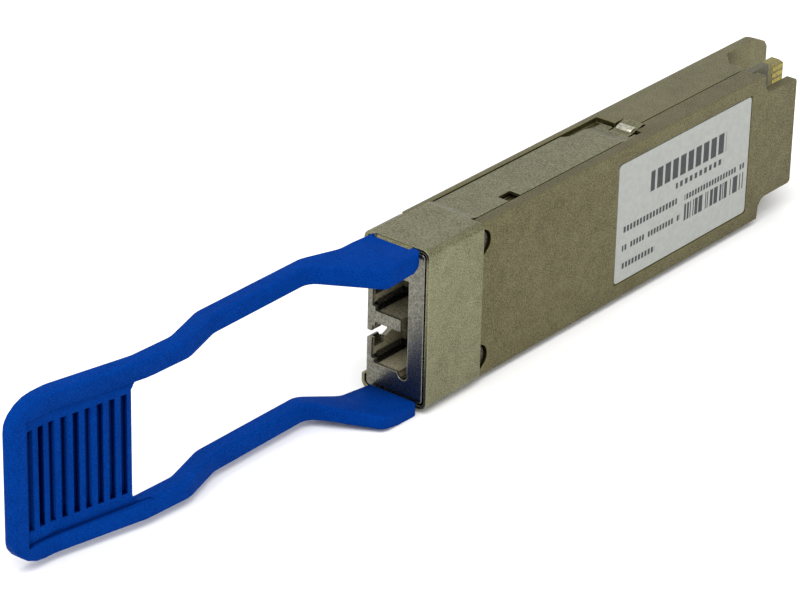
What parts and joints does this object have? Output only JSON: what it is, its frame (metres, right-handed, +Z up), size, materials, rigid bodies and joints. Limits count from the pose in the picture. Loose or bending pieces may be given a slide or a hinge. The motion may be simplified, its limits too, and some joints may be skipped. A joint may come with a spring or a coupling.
{
  "type": "pluggable optical transceiver module",
  "caption": "Pluggable optical transceiver module with a duplex fibre nose, a sprung sheet-metal latch slider and a blue pull tab.",
  "frame": {"origin": "middle of the bounding box's bottom face, under the module as it stands on one narrow side", "axes": "+X along the length towards the card-edge contacts, the pull tab points to -X; -Y is the labelled cover's side; +Z is up, along the module's width"},
  "size_m": [0.1262, 0.0104, 0.0193],
  "materials": {
    "shell_zinc": "plated zinc casting, satin, warm grey",
    "cover_zinc": "plated zinc casting, satin, warm grey",
    "nose_zinc": "plated zinc casting, semi-bright",
    "slider_steel": "plated spring-steel sheet, satin",
    "screw_steel": "small machined screw",
    "can_steel": "metal can of the clock crystal",
    "spring_steel": "bright spring wire",
    "blue_moulding": "moulded blue plastic, semi-matt",
    "label_stock": "pale polyester label",
    "ceramic": "white ceramic and moulded sleeve",
    "gold_plate": "gold-plated optical sub-assembly",
    "flex_circuit": "polyimide flexible circuit",
    "circuit_board": "dark green board with gold contacts",
    "chip_black": "moulded black package",
    "thermal_pad": "soft grey thermal pad"
  },
  "bodies": {
    "module": {"bottom_cover": "cover_zinc", "clock_crystal": "can_steel", "controller": "chip_black", "ferrule_sleeve_rx": "ceramic", "ferrule_sleeve_tx": "ceramic", "front_screw_lower": "screw_steel", "front_screw_upper": "screw_steel", "label": "label_stock", "laser_driver": "chip_black", "lc_receptacle": "nose_zinc", "main_board": "circuit_board", "power_inductor": "chip_black", "receiver_amplifier": "chip_black", "receiver_flex": "flex_circuit", "receiver_optics": "gold_plate", "return_spring_lower": "spring_steel", "return_spring_upper": "spring_steel", "thermal_pad_board": "thermal_pad", "thermal_pad_optics": "thermal_pad", "top_shell": "shell_zinc", "transmitter_flex": "flex_circuit", "transmitter_optics": "gold_plate"},
    "latch": {"latch_slider": "slider_steel", "pull_tab": "blue_moulding"}
  },
  "joints": [
    {"name": "latch_release", "type": "slide", "parent": "module", "child": "latch", "axis": [-1, 0, 0], "range_m": [0, 0.0024], "stiffness_N_per_m": 800, "springref_m": -0.0005, "deforming": ["return_spring_lower", "return_spring_upper"]}
  ]
}
